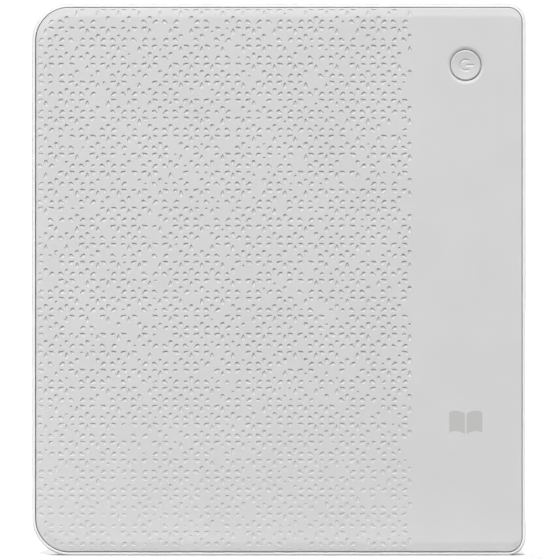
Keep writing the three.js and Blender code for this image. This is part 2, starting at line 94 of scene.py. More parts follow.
X_GRIP, X_THIN = bezel_low.x, bezel_high.x
HEIGHT = bezel_high.z
Y_BACK = cover_high.y
Y_GRIP = bezel_low.y  # front of the grip
Y_RIM = bezel_high.y  # back edge of the bezel, round the cover
Y_FRONT = Y_BACK - THIN_SIDE  # front of the bezel round the screen
Y_LIP = Y_FRONT + LIP  # back of the bezel's lip
Y_SEAT = 2.2  # shelf in the bezel, under the cover and its dark seal
Y_SKIRT = cover_low.y + HOOK_REACH
Y_COVER_INSIDE = Y_BACK - COVER_WALL
COVER_INSET = cover_low.x - X_GRIP
RIM_INSET = COVER_INSET - SEAM
WINDOW = {
    "x0": panel_low.x + LIP_LAP,
    "x1": panel_high.x - LIP_LAP,
    "z0": panel_low.z + LIP_LAP,
    "z1": panel_high.z - LIP_LAP,
}
WINDOW_CORNER = 1.2
RAMP_START = X_GRIP + GRIP_LAND
RAMP_SLOPE = (Y_FRONT - Y_GRIP) / (WINDOW["x0"] - RAMP_START)


# ---------------------------------------------------------------- outlines, as rows of x and z
def arc(x, z, radius, start, end, steps):
    angles = np.radians(np.linspace(start, end, steps + 1))
    return np.stack([x + radius * np.cos(angles), z + radius * np.sin(angles)], 1)


def circle(x, z, radius, steps):
    return arc(x, z, radius, 0, 360, steps)[:-1]


def outline(inset, corner_steps=12, edge_steps=40):
    """The reader's outline drawn in from its edge, with the same number of points at every inset."""
    corners = [
        (X_THIN - THIN_CORNER, THIN_CORNER, THIN_CORNER, -90),
        (X_THIN - THIN_CORNER, HEIGHT - THIN_CORNER, THIN_CORNER, 0),
        (X_GRIP + GRIP_CORNER, HEIGHT - GRIP_CORNER, GRIP_CORNER, 90),
        (X_GRIP + GRIP_CORNER, GRIP_CORNER, GRIP_CORNER, 180),
    ]
    arcs = []
    for x, z, radius, start in corners:
        arcs.append(arc(x, z, radius - inset, start, start + 90, corner_steps))
    runs = []
    for here, following in zip(arcs, arcs[1:] + arcs[:1]):
        runs += [here, np.linspace(here[-1], following[0], edge_steps + 1)[1:-1]]
    return np.concatenate(runs)


def pill(x, z, width, length, steps=12):
    """A shape with half-round ends, standing along z."""
    radius, reach = width / 2, (length - width) / 2
    top = arc(x, z + reach, radius, 0, 180, steps)
    foot = arc(x, z - reach, radius, 180, 360, steps)
    return np.concatenate([top, foot])


def rounded_box(box, grow, radius=WINDOW_CORNER, steps=5):
    """A box's outline with rounded corners, grown by a margin."""
    x0, x1, z0, z1 = box["x0"] - grow, box["x1"] + grow, box["z0"] - grow, box["z1"] + grow
    r = radius + grow
    return np.concatenate(
        [
            arc(x1 - r, z0 + r, r, -90, 0, steps),
            arc(x1 - r, z1 - r, r, 0, 90, steps),
            arc(x0 + r, z1 - r, r, 90, 180, steps),
            arc(x0 + r, z0 + r, r, 180, 270, steps),
        ]
    )


def inside(points, ring):
    """Which of the points are inside a closed ring."""
    x, z = points[:, 0], points[:, 1]
    found = np.zeros(len(points), bool)
    for (x0, z0), (x1, z1) in zip(ring, np.roll(ring, -1, 0)):
        if z0 != z1:
            crosses = (z0 > z) != (z1 > z)
            found ^= crosses & (x < x0 + (z - z0) * (x1 - x0) / (z1 - z0))
    return found


def inside_any(points, rings):
    return np.any([inside(points, ring) for ring in rings], axis=0)


# ---------------------------------------------------------------- meshes
def placed(name, data):
    """A new object in the scene."""
    made = bpy.data.objects.new(name, data)
    bpy.context.collection.objects.link(made)
    return made


def no_tags(corners, middles):
    return np.zeros(len(middles), int)


class Solid:
    """Points in millimetres and faces, gathered ring by ring.

    A face has a tag: the number of its material or, on the back cover, of its kind.
    """

    def __init__(self):
        self.points = np.zeros((0, 3))
        self.faces = []
        self.tags = []

    def add(self, xz, y):
        """Adds points, given as rows of x and z with one y or a y for each, and returns their numbers."""
        xz = np.asarray(xz, float).reshape(-1, 2)
        return self.add_3d(np.stack([xz[:, 0], np.broadcast_to(y, len(xz)), xz[:, 1]], 1))

    def add_3d(self, points):
        start = len(self.points)
        self.points = np.concatenate([self.points, np.asarray(points, float)])
        return list(range(start, start + len(points)))

    def face(self, ring, tag=0):
        self.faces.append(tuple(ring))
        self.tags.append(tag)

    def band(self, a, b, tag=0):
        """Quads between two rings with the same number of points."""
        for i in range(len(a)):
            j = (i + 1) % len(a)
            self.face((a[i], a[j], b[j], b[i]), tag)

    def bands(self, rings, tag=0):
        for a, b in zip(rings, rings[1:]):
            self.band(a, b, tag)

    def closed(self, rings, tag=0):
        """Bands through the rings, with a face over the first and the last."""
        self.bands(rings, tag)
        self.face(rings[0], tag)
        self.face(rings[-1], tag)

    def fill(self, rings, loose, keep, tag_of=no_tags):
        """Triangles between closed rings of points, through loose points, where keep says yes."""
        used = [i for ring in rings for i in ring] + list(loose)
        place = {index: at for at, index in enumerate(used)}
        edges = [(place[a], place[b]) for ring in rings for a, b in zip(ring, ring[1:] + ring[:1])]
        flat = [Vector((self.points[i, 0], self.points[i, 2])) for i in used]
        made = geometry.delaunay_2d_cdt(flat, edges, [], 0, 1e-6, True)
        back = [used[source[0]] for source in made[3]]
        triangles = np.array([[back[i] for i in triangle] for triangle in made[2]])
        middles = self.points[triangles][:, :, [0, 2]].mean(1)
        chosen = keep(middles)
        tags = tag_of(triangles[chosen], middles[chosen])
        self.faces += [tuple(int(i) for i in triangle) for triangle in triangles[chosen]]
        self.tags += [int(tag) for tag in tags]

    def object(self, name, body, slot, replaced=()):
        """The finished mesh object, riding its body in place of the CAD nodes that it replaces."""
        mesh = bpy.data.meshes.new(name)
        mesh.from_pydata((self.points * MM).tolist(), [], self.faces)
        mesh.polygons.foreach_set("material_index", self.tags)
        work = bmesh.new()
        work.from_mesh(mesh)
        bmesh.ops.recalc_face_normals(work, faces=work.faces)
        work.to_mesh(mesh)
        work.free()
        made = placed(name, mesh)
        if replaced:
            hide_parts(*replaced)
        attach(made, body)
        return made


def soften(piece, degrees=32):
    """Smooth shading that keeps flat faces flat and edges sharper than an angle sharp."""
    piece.data.shade_smooth()
    piece.data.set_sharp_from_angle(angle=math.radians(degrees))
    normals = piece.modifiers.new("weighted_normals", "WEIGHTED_NORMAL")
    normals.keep_sharp = True


def carve(piece, cutter):
    """Takes the cutter's shape out of the piece."""
    cut = piece.modifiers.new("cut", "BOOLEAN")
    cut.operation = "DIFFERENCE"
    cut.solver = "EXACT"
    cut.object = cutter
    evaluated = piece.evaluated_get(bpy.context.evaluated_depsgraph_get())
    piece.data = bpy.data.meshes.new_from_object(evaluated)
    piece.modifiers.clear()
    bpy.data.objects.remove(cutter)


# ---------------------------------------------------------------- materials
GLOSS_SPREAD = 0.06  # how far the roughness strays either way with the grain
NOISE_LOW, NOISE_HIGH = 0.3, 0.7  # most of a noise texture's values lie between these
surfaces = {}


def nodes_of(name):
    material = bpy.data.materials.new(name)
    material.use_nodes = True
    tree = material.node_tree
    return material, tree, tree.nodes["Principled BSDF"]


def noise(tree, size, detail=3.0, stretch=(1, 1, 1)):
    """Noise whose lumps are about that many millimetres across, in the object's own space."""
    place = tree.nodes.new("ShaderNodeTexCoord")
    scaling = tree.nodes.new("ShaderNodeMapping")
    scaling.inputs["Scale"].default_value = [1 / s for s in stretch]
    texture = tree.nodes.new("ShaderNodeTexNoise")
    texture.inputs["Scale"].default_value = 1 / (size * MM)
    texture.inputs["Detail"].default_value = detail
    tree.links.new(place.outputs["Object"], scaling.inputs["Vector"])
    tree.links.new(scaling.outputs["Vector"], texture.inputs["Vector"])
    return texture.outputs["Fac"]


def mixed(tree, factor, low, high):
    """A colour that goes from low to high with a noise."""
    ramp = tree.nodes.new("ShaderNodeValToRGB")
    ramp.color_ramp.elements[0].position = NOISE_LOW
    ramp.color_ramp.elements[1].position = NOISE_HIGH
    ramp.color_ramp.elements[0].color = (*low, 1)
    ramp.color_ramp.elements[1].color = (*high, 1)
    tree.links.new(factor, ramp.inputs["Fac"])
    return ramp.outputs["Color"]


def shade(colour, by):
    return tuple(min(1.0, c * by) for c in colour)


def finish(
    name,
    colour,
    roughness,
    metallic=0.0,
    grain=0.25,
    bump=0.004,
    mottle=(14.0, 0.015),
    stretch=(1, 1, 1),
    transmission=0.0,
):
    """A moulded or metal surface: a fine grain in its relief and gloss, and a faint mottling in its colour.

    Sizes are in millimetres: of the grain, of the bump's height, and of the mottling, beside its strength.
    """
    material, tree, shader = nodes_of(name)
    cloud = noise(tree, mottle[0], 2.0)
    mottled = mixed(tree, cloud, shade(colour, 1 - mottle[1]), shade(colour, 1 + mottle[1]))
    tree.links.new(mottled, shader.inputs["Base Color"])
    fine = noise(tree, grain, 4.0, stretch)
    gloss = tree.nodes.new("ShaderNodeMapRange")
    gloss.inputs["To Min"].default_value = roughness - GLOSS_SPREAD
    gloss.inputs["To Max"].default_value = roughness + GLOSS_SPREAD
    tree.links.new(fine, gloss.inputs["Value"])
    tree.links.new(gloss.outputs["Result"], shader.inputs["Roughness"])
    relief = tree.nodes.new("ShaderNodeBump")
    relief.inputs["Distance"].default_value = bump * MM
    tree.links.new(fine, relief.inputs["Height"])
    tree.links.new(relief.outputs["Normal"], shader.inputs["Normal"])
    shader.inputs["Metallic"].default_value = metallic
    shader.inputs["Transmission Weight"].default_value = transmission
    surfaces[name] = material


finish("white_shell", (0.87, 0.87, 0.865), 0.45, bump=0.006)
finish("grey_cover", (0.65, 0.65, 0.65), 0.58, grain=0.3, bump=0.008)
finish("button_grey", (0.63, 0.63, 0.63), 0.5, grain=0.3, bump=0.006)
finish("screen_film", (0.55, 0.56, 0.53), 0.62, grain=0.12, bump=0.003, mottle=(0.35, 0.03))
finish("clear_guide", (0.8, 0.84, 0.86), 0.2, bump=0.002, transmission=0.6)
finish("panel_glass", (0.38, 0.39, 0.37), 0.25, bump=0.001)
finish("chassis_metal", (0.52, 0.53, 0.54), 0.4, 1.0, grain=0.2, bump=0.004, stretch=(1, 1, 12))
finish("board_green", (0.02, 0.11, 0.05), 0.35, grain=0.5, bump=0.02, mottle=(1.2, 0.35))
finish("chip_black", (0.03, 0.03, 0.032), 0.55, grain=0.15, bump=0.01, mottle=(0.8, 0.2))
finish("tinned_steel", (0.66, 0.67, 0.68), 0.28, 1.0, grain=0.15, bump=0.003, stretch=(6, 1, 1))
finish("screw_steel", (0.4, 0.41, 0.42), 0.35, 1.0, grain=0.1, bump=0.004, mottle=(1.0, 0.08))
finish("silicone", (0.05, 0.05, 0.05), 0.8, grain=0.2, bump=0.01, mottle=(2.0, 0.1))
finish("foam_tape", (0.035, 0.035, 0.035), 0.9, grain=0.3, bump=0.06, mottle=(0.6, 0.25))
finish("battery_foil", (0.62, 0.61, 0.58), 0.38, 0.9, grain=0.8, bump=0.02, mottle=(6.0, 0.05))
finish("flex_amber", (0.5, 0.2, 0.04), 0.35, grain=0.6, bump=0.006, stretch=(1, 1, 8))
finish("connector_ivory", (0.74, 0.68, 0.52), 0.5, grain=0.2, bump=0.006)
finish("wire_red", (0.42, 0.02, 0.02), 0.45, grain=0.2, bump=0.004, mottle=(3.0, 0.06))
finish("wire_black", (0.02, 0.02, 0.02), 0.45, grain=0.2, bump=0.004, mottle=(3.0, 0.1))
finish("cover_ink", (0.52, 0.52, 0.513), 0.45, grain=0.3, bump=0.006)
finish("contact_gold", (0.95, 0.68, 0.3), 0.25, 1.0, grain=0.1, bump=0.002)
finish("blank_page", (0.60, 0.61, 0.58), 0.6, grain=0.12, bump=0.003, mottle=(0.3, 0.03))

for part in frame["record"]["subparts"]:
    for material_slot in frame["nodes"][part["node"]].material_slots:
        material_slot.material = surfaces[part["material_slot"]]


def paint(piece, *names):
    for name in names:
        piece.data.materials.append(surfaces[name])


# ---------------------------------------------------------------- back cover
SLOPE_WIDE, SLOPE_TIGHT = 2.6, 1.2  # width of the slope round the cover's edge, and beside the grip's rim
SLOPE, SLOPE_SIDES = 0.17, 0.9  # its steepness, and the share by which its upright sides are steeper
SLOPE_BEND = 0.25  # half the length of the bend into it, as a share of its width
EDGE_ROUND, EDGE_LEAN = 0.3, 0.95  # a small rounding at the seam, and where it stops short of upright

BUTTON_AT = ((button_low.x + button_high.x) / 2, (button_low.z + button_high.z) / 2)
BUTTON_RADIUS = 4.44
BUTTON_GAP = 0.24
BUTTON_HOLE = BUTTON_RADIUS + BUTTON_GAP
DISH_WIDTH, DISH_DEPTH, DISH_CURVE = 0.95, 0.33, 1.6  # hollow in the cover round the button

FLOWER_PITCH = 6.085
FLOWER_ROW = FLOWER_PITCH * math.sqrt(3) / 2
FLOWER_ROWS, FLOWER_COLUMNS = range(-29, 4), range(19)
FIRST_FLOWER = (-38.3, 150.0)  # a flower on the patterned part's straight edge
PATTERN_EDGE = -39.0
PETAL_KINDS = ["full"] * 15 + ["short"] * 2 + ["dot"]
PETAL_SIZES = {  # where a petal starts and ends from its flower's centre, and its radius at either end
    "full": (0.92, 2.7, 0.1, 0.58),
    "short": (1.2, 2.5, 0.1, 0.46),
    "dot": (1.55, 2.35, 0.15, 0.35),
}
PETALS_MISSING = (0, 0, 1, 1, 1, 2)  # how many a flower lacks is one of these
PETAL_DEPTH = 0.31
PETAL_TILT = 0.04  # the floors of the petals are deeper at their upper ends
PETAL_LIFT = 0.035  # and lie a little higher than their outlines, so that the lower walls slope
PETAL_WALL = 0.1  # a floor is drawn in by this
FLOOR_START = 1.5 * PETAL_WALL  # and at the flower's centre by this
FLOOR_TIP = 0.04  # radius of its narrow end
SMALLEST_FLOOR = 0.25  # a petal whose floor is narrower is left out
PETAL_MARGIN = 0.45  # plain strip along the cover's edge, where petals are cut off
SHALLOWEST = 0.5  # petals get shallower down to this share of their depth
FOOT_SHARE, FOOT_REACH = 0.3, 82  # towards the reader's foot
EDGE_SHARE, EDGE_GAIN = 0.35, 0.2  # and towards the cover's edge

MARK_Z = 38.7
LEAF_START, LEAF_WIDTH = 0.25, 4.6  # the open book's pages, from its fold
LEAF_TOP, LEAF_FOOT = 2.9, 3.1  # from MARK_Z
LEAF_BULGE, LEAF_CURL = 0.9, 0.85

SURFACE, PRINT, PETAL_SIDE, COVER_SIDE = range(4)  # tags of the cover's faces
SKIRT_WIDTH = 2.0
HOLE_STEPS = 72
SEAM_RINGS = (0.07, 0.16, 0.27, 0.4)  # insets from the cover's edge
SLOPE_RINGS = (0.8, 1.3, 1.7, 2.0, 2.4, 2.8, 3.3)
DISH_RINGS = (0.15, 0.35, 0.6, 0.85, 1.1, 1.3)  # distances out from the button's hole
PETAL_CLEAR = 1.25  # points on the slope keep this far from the middle of every petal


def to_edge(x, z, inset):
    """Distance in from an outline, how much its nearest edge faces sideways, and whether the grip's side."""
    radius = np.where(x < 0, GRIP_CORNER, THIN_CORNER) - inset
    across = np.abs(x) - (X_THIN - inset - radius)
    up = np.abs(z - HEIGHT / 2) - (HEIGHT / 2 - inset - radius)
    in_corner = (across > 0) & (up > 0)
    reach = np.hypot(across, up)
    distance = np.where(in_corner, radius - reach, radius - np.maximum(across, up))
    sideways = np.where(in_corner, across / np.maximum(reach, 1e-9), (across > up).astype(float))
    return distance, sideways, x < 0


def cover_y(x, z):
    """Height of the cover's surface, without its petals."""
    distance, sideways, at_grip = to_edge(x, z, COVER_INSET)
    narrowed = SLOPE_WIDE + (SLOPE_TIGHT - SLOPE_WIDE) * sideways**2
    width = np.where(at_grip, narrowed, SLOPE_WIDE)
    fade = SLOPE_BEND * width
    bend = np.clip((width + fade - distance) / (2 * fade), 0, 1)
    steepness = SLOPE * (1 + SLOPE_SIDES * sideways**2)
    past_bend = np.maximum(width - distance, 0) + fade * (bend**2 - 2 * np.maximum(bend - 0.5, 0))
    lean = np.clip(1 - distance / EDGE_ROUND, 0, 1) * EDGE_LEAN
    from_hole = np.hypot(x - BUTTON_AT[0], z - BUTTON_AT[1]) - BUTTON_HOLE
    dish = np.clip(1 - from_hole / DISH_WIDTH, 0, 1)
    rounding = EDGE_ROUND * (1 - np.sqrt(1 - lean**2))
    return Y_BACK - steepness * past_bend - rounding - DISH_DEPTH * dish**DISH_CURVE


def cover_normals(x, z):
    """Unit normals of the cover's surface, without its petals."""
    step = 0.02
    rise_x = (cover_y(x + step, z) - cover_y(x - step, z)) / (2 * step)
    rise_z = (cover_y(x, z + step) - cover_y(x, z - step)) / (2 * step)
    normals = np.stack([-rise_x, np.ones_like(rise_x), -rise_z], 1)
    return normals / np.linalg.norm(normals, axis=1, keepdims=True)


def teardrop(start, end, tip, head, angle, centre):
    """A petal's outline: from a small round tip near the flower's centre to a wide round head."""
    lean = math.degrees(math.asin((head - tip) / (end - head - start - tip)))
    wide_end = arc(end - head, 0, head, -90 - lean, 90 + lean, 8)
    narrow_end = arc(start + tip, 0, tip, 90 + lean, 270 - lean, 3)
    c, s = math.cos(angle), math.sin(angle)
    return np.concatenate([wide_end, narrow_end]) @ np.array([[c, s], [-s, c]]) + centre


def cut_off(ring, axis, limit, side):
    """The part of a ring below a limit (side 1) or above it (side -1), in x (axis 0) or z (axis 1)."""
    kept = []
    for here, following in zip(ring, np.roll(ring, -1, 0)):
        room = side * (limit - here[axis])
        next_room = side * (limit - following[axis])
        if room >= 0:
            kept.append(here)
        if room * next_room < 0:
            kept.append(here + (following - here) * room / (room - next_room))
    return np.array(kept).reshape(-1, 2)


def inside_margin(ring, margin):
    """A ring without what lies beyond a margin along the cover's top, bottom and thin side."""
    inset = COVER_INSET + margin
    ring = cut_off(ring, 1, HEIGHT - inset, 1)
    ring = cut_off(ring, 1, inset, -1)
    return cut_off(ring, 0, X_THIN - inset, 1)


def petal_rings(kind, angle, centre):
    """A petal's outlines at the surface and on its floor."""
    start, end, tip, head = PETAL_SIZES[kind]
    lip = teardrop(start, end, tip, head, angle, centre)
    raised = (centre[0], centre[1] + PETAL_LIFT)
    floor = teardrop(start + FLOOR_START, end - PETAL_WALL, FLOOR_TIP, head - PETAL_WALL, angle, raised)
    return inside_margin(lip, PETAL_MARGIN), inside_margin(floor, PETAL_MARGIN + PETAL_WALL)


def fits(lip, floor):
    """Whether a petal still has a floor and is clear of the plain band and of the cover's edge."""
    if len(floor) < 5 or np.ptp(floor, 0).min() < SMALLEST_FLOOR:
        return False
    if lip[:, 0].min() < PATTERN_EDGE:
        return False
    return to_edge(lip[:, 0], lip[:, 1], COVER_INSET)[0].min() > PETAL_MARGIN - 0.01


def petals():
    """The outlines of every petal that is there, drawn from a seeded chance."""
    chance = random.Random(3)
    found = []
    for row in FLOWER_ROWS:
        shift = 0 if row % 2 == 0 else FLOWER_PITCH / 2
        for column in FLOWER_COLUMNS:
            x = FIRST_FLOWER[0] + column * FLOWER_PITCH + shift
            z = FIRST_FLOWER[1] + row * FLOWER_ROW
            missing = chance.sample(range(6), chance.choice(PETALS_MISSING))
            for k in range(6):
                kind = chance.choice(PETAL_KINDS)
                lip, floor = petal_rings(kind, math.radians(30 + 60 * k), (x, z))
                if k not in missing and fits(lip, floor):
                    found.append((lip, floor))
    return found


def petal_share(x, z):
    """How deep a petal is: less near the reader's foot and on the slope round the cover's edge."""
    distance = to_edge(x, z, COVER_INSET)[0]
    return max(SHALLOWEST, min(1, FOOT_SHARE + z / FOOT_REACH, EDGE_SHARE + EDGE_GAIN * distance))


def book_mark():
    """The outlines of a plain open-book sign's two pages."""
    across = np.linspace(0, 1, 9)
    bulge = LEAF_BULGE * np.sin(across * math.pi * LEAF_CURL)
    pages = []
    for side in (-1, 1):
        x = BUTTON_AT[0] + side * (LEAF_START + LEAF_WIDTH * across)
        top = np.stack([x, MARK_Z + LEAF_TOP + bulge], 1)
        foot = np.stack([x, MARK_Z - LEAF_FOOT + bulge], 1)[::-1]
        pages.append(np.concatenate([top, foot]))
    return pages


def cover_outline(inset=0):
    return outline(COVER_INSET + inset, 24, 90)


def on_cover(solid, shape, depth=0):
    """Adds a shape's points on the cover's surface, or below it."""
    return solid.add(shape, cover_y(shape[:, 0], shape[:, 1]) - depth)


def curve_points(petal_middles):
    """Points that carry the curves of the cover's edge and of the hollow round the button."""
    at_seam = np.concatenate([cover_outline(inset) for inset in SEAM_RINGS])
    on_slope = np.concatenate([cover_outline(inset) for inset in SLOPE_RINGS])
    apart = on_slope[:, None, :] - petal_middles[None]
    clear = np.hypot(apart[:, :, 0], apart[:, :, 1]).min(1) >= PETAL_CLEAR
    in_dish = np.concatenate([circle(*BUTTON_AT, BUTTON_HOLE + out, HOLE_STEPS) for out in DISH_RINGS])
    return np.concatenate([at_seam, on_slope[clear], in_dish])


def back_cover():
    solid = Solid()
    edge = cover_outline()
    hole_shape = circle(*BUTTON_AT, BUTTON_HOLE, HOLE_STEPS)
    rim = on_cover(solid, edge)
    hole = on_cover(solid, hole_shape)
    rings = [rim, hole]
    floor_points = []
    pairs = petals()
    for lip_shape, floor_shape in pairs:
        x, z = floor_shape.T
        depth = petal_share(x.mean(), z.mean()) * (PETAL_DEPTH + PETAL_TILT * (z - z.mean()))
        lip = on_cover(solid, lip_shape)
        floor = on_cover(solid, floor_shape, depth)
        rings += [lip, floor]
        floor_points += floor
    leaves = book_mark()
    rings += [solid.add(leaf, Y_BACK) for leaf in leaves]
    petal_middles = np.array([lip_shape.mean(0) for lip_shape, _ in pairs])
    loose = on_cover(solid, curve_points(petal_middles))
    is_floor = np.zeros(len(solid.points), bool)
    is_floor[floor_points] = True

    def tag_of(corners, middles):
        deep = is_floor[corners].sum(1)
        printed = np.where(inside_any(middles, leaves), PRINT, SURFACE)
        return np.where((deep > 0) & (deep < 3), PETAL_SIDE, printed)

    solid.fill(rings, loose, lambda middles: ~inside(middles, hole_shape) & inside(middles, edge), tag_of)

    # The cover's edge, its skirt and its inside.
    skirt_shape = cover_outline(SKIRT_WIDTH)
    below = solid.add(edge, Y_SKIRT)
    skirt = solid.add(skirt_shape, Y_SKIRT)
    inside_ring = solid.add(skirt_shape, Y_COVER_INSIDE)
    hole_inside = solid.add(hole_shape, Y_COVER_INSIDE)
    solid.bands([rim, below, skirt, inside_ring], COVER_SIDE)
    solid.band(hole, hole_inside, COVER_SIDE)
    solid.fill([inside_ring, hole_inside], [], lambda middles: ~inside(middles, hole_shape))
    return solid.object("cover_shell", "reader_body", "grey_cover", ["back_cover"])


def values_of(items, name, kind, width=1):
    """One attribute of all of a mesh's faces, corners or points, as an array."""
    values = np.zeros(len(items) * width, kind)
    items.foreach_get(name, values)
    return values if width == 1 else values.reshape(-1, width)


def shade_cover(cover):
    """Exact normals on the cover's curves, and flat ones on the walls of its petals and edges."""
    mesh = cover.data
    tags = values_of(mesh.polygons, "material_index", np.int32)
    totals = values_of(mesh.polygons, "loop_total", np.int32)
    corners = values_of(mesh.loops, "vertex_index", np.int32)
    flat = values_of(mesh.polygons, "normal", float, 3)
    points = values_of(mesh.vertices, "co", float, 3) / MM
    owner = np.repeat(np.arange(len(totals)), totals)
    normals = flat[owner]
    outward = (tags[owner] <= PRINT) & (normals[:, 1] > 0)
    at = points[corners[outward]]
    normals[outward] = cover_normals(at[:, 0], at[:, 2])
    mesh.polygons.foreach_set("material_index", (tags == PRINT).astype(np.int32))
    mesh.shade_smooth()
    mesh.normals_split_custom_set(normals.tolist())
    paint(cover, "grey_cover", "cover_ink")


shade_cover(back_cover())


# ---------------------------------------------------------------- bezel
FRONT_ROUND, BACK_ROUND = 1.3, 0.7
OPENING_ROUND = {"window": 0.3, "upper": 0.2, "lower": 0.2}
SOFT_BEND = 1.2  # how softly the front bends into the grip's slope
LINE_INSET, LINE_WIDTH, LINE_DEPTH = 0.1, 0.13, 0.3  # hairline round the rounding of the back edge
LINE_TAPER = 0.01
RIM_CHAMFER, RIM_BREAK = 0.13, 0.04  # the rim's inner corner, in two steps
PAGE_WIDTH, PAGE_LENGTH, PAGE_GAP = 8.0, 28.0, 0.15
PAGE_X = (X_GRIP + WINDOW["x0"]) / 2
PAGE_Y = Y_FRONT + (PAGE_X - WINDOW["x0"]) * RAMP_SLOPE
START_GRID = (-3, -2, -1, 0, 1, 2, 3)  # where points carry the bends, from the slope's start
END_GRID = (-3.5, -2.5, -1.5, -0.7)  # and from its end at the window
GRID_MARGIN, GRID_ROWS = 2.5, 40
SOCKET_ROOM, PIPE_ROOM = 0.35, 0.1  # room round the USB socket and the light pipe

page_boxes = {which: box_mm(f"page_key_{which}") for which in ("upper", "lower")}
page_z = {which: (low.z + high.z) / 2 for which, (low, high) in page_boxes.items()}


def front_y(x):
    """Front of the bezel: level round the screen, sloping out to the grip, with both bends rounded."""
    past_start = SOFT_BEND * np.logaddexp(0, (x - RAMP_START) / SOFT_BEND)
    past_end = SOFT_BEND * np.logaddexp(0, (x - WINDOW["x0"]) / SOFT_BEND)
    return Y_GRIP + RAMP_SLOPE * (past_start - past_end)


def opening_shape(opening, grow):
    """The outline of an opening in the front: the screen's window or the hole for a page key."""
    if opening == "window":
        return rounded_box(WINDOW, grow)
    margin = 2 * (PAGE_GAP + grow)
    return pill(PAGE_X, page_z[opening], PAGE_WIDTH + margin, PAGE_LENGTH + margin)


def rounded_y(inset):
    """Height of the rounding at the bezel's back edge."""
    return Y_RIM - BACK_ROUND + math.sqrt(BACK_ROUND**2 - (BACK_ROUND - inset) ** 2)


def rounded_front(solid, shape_at, radius, steps):
    """Rings round a rounded edge of the front, from its face backwards."""
    rings = []
    for a in np.radians(np.linspace(0, 90, steps)):
        shape = shape_at(radius * (1 - math.sin(a)))
        rings.append(solid.add(shape, front_y(shape[:, 0]) + radius * (1 - math.cos(a))))
    return rings


def back_edge():
    """Insets of the back edge's rings, and their depths below its rounding: a hairline groove cuts it."""
    insets = [BACK_ROUND * (1 - math.cos(a)) for a in np.radians(np.linspace(0, 90, 8))]
    line_end = LINE_INSET + LINE_WIDTH
    before = [(inset, 0) for inset in insets if inset < LINE_INSET]
    after = [(inset, 0) for inset in insets if inset > line_end]
    floor = [(LINE_INSET + LINE_TAPER, LINE_DEPTH), (line_end - LINE_TAPER, LINE_DEPTH)]
    return before + [(LINE_INSET, 0), *floor, (line_end, 0)] + after


def bezel():
    solid = Solid()
    sweep = rounded_front(solid, outline, FRONT_ROUND, 8)
    for inset, depth in back_edge():
        sweep.append(solid.add(outline(inset), rounded_y(inset) - depth))
    sweep.append(solid.add(outline(RIM_INSET - RIM_CHAMFER), Y_RIM))
    sweep.append(solid.add(outline(RIM_INSET - RIM_BREAK), Y_RIM - RIM_BREAK))
    sweep.append(solid.add(outline(RIM_INSET), Y_RIM - RIM_CHAMFER))
    solid.bands(sweep)
    # Tag 1 gives the rim's inner wall down the seam, and the shelf under the cover, the seal's dark
    # material: on the wall this is painted shade that darkens the seam
    seat = [solid.add(outline(inset), Y_SEAT) for inset in (RIM_INSET, WALL)]
    solid.bands([sweep[-1], *seat], 1)
    inner = solid.add(outline(WALL), Y_LIP)
    solid.band(seat[-1], inner)

    fronts, backs, at_front, at_back = [], [], [], []
    for opening, radius in OPENING_ROUND.items():
        rings = rounded_front(solid, lambda grow: opening_shape(opening, grow), radius, 5)
        at_front.append(opening_shape(opening, radius))
        at_back.append(opening_shape(opening, 0))
        rings.append(solid.add(at_back[-1], Y_LIP))
        solid.bands(rings)
        fronts.append(rings[0])
        backs.append(rings[-1])

    front_shape = outline(FRONT_ROUND)
    across = [RAMP_START + d for d in START_GRID] + [WINDOW["x0"] + d for d in END_GRID]
    up = np.linspace(GRID_MARGIN, HEIGHT - GRID_MARGIN, GRID_ROWS)
    grid = np.array([(x, z) for x in across for z in up])
    grid = grid[~inside_any(grid, at_front)]
    loose = solid.add(grid, front_y(grid[:, 0]))
    solid.fill(
        [sweep[0], *fronts],
        loose,
        lambda middles: inside(middles, front_shape) & ~inside_any(middles, at_front),
    )
    back_shape = outline(WALL)
    solid.fill(
        [inner, *backs],
        [],
        lambda middles: inside(middles, back_shape) & ~inside_any(middles, at_back),
    )
    shell = solid.object("bezel_shell", "reader_body", "white_shell", ["front_bezel"])
    # slot 1, the seal's dark material, is painted shade on the rim's inner wall in the seam
    paint(shell, "white_shell", "silicone")
    carve(shell, side_plug(socket_low, socket_high, SOCKET_ROOM))
    carve(shell, side_plug(pipe_low, pipe_high, PIPE_ROOM))
    soften(shell)


def side_pill(low, high, grow, steps=10):
    """A pill outline in y and z round a node's section, grown by a margin."""
    width = high.y - low.y + 2 * grow
    length = high.z - low.z + 2 * grow
    return pill((low.y + high.y) / 2, (low.z + high.z) / 2, width, max(length, width + 1e-3), steps)


def side_loop(solid, yz, x):
    return solid.add_3d([(x, y, z) for y, z in yz])


def side_plug(low, high, grow):
    """A cutter for a hole in the grip's edge, round a node and with a flared mouth."""
    solid = Solid()
    mouth = [
        (X_GRIP - 1, 0.35),
        (X_GRIP, 0.35),
        (X_GRIP + 0.12, 0.1),
        (X_GRIP + 0.35, 0.0),
        (X_GRIP + 4, 0.0),
    ]
    solid.closed([side_loop(solid, side_pill(low, high, grow + flare), x) for x, flare in mouth])
    return solid.object("mouth", "reader_body", "white_shell")


bezel()


# ---------------------------------------------------------------- page keys
KEY_PROUD, KEY_ROUND, KEY_DISH = 0.3, 0.5, 0.36
KEY_BACK = 1.6  # how far a key reaches in below the slope of the grip
KEY_RINGS = (0.5, 0.9, 1.4, 2.0, 2.6, 3.2, 3.7)  # insets of the rings in its hollow


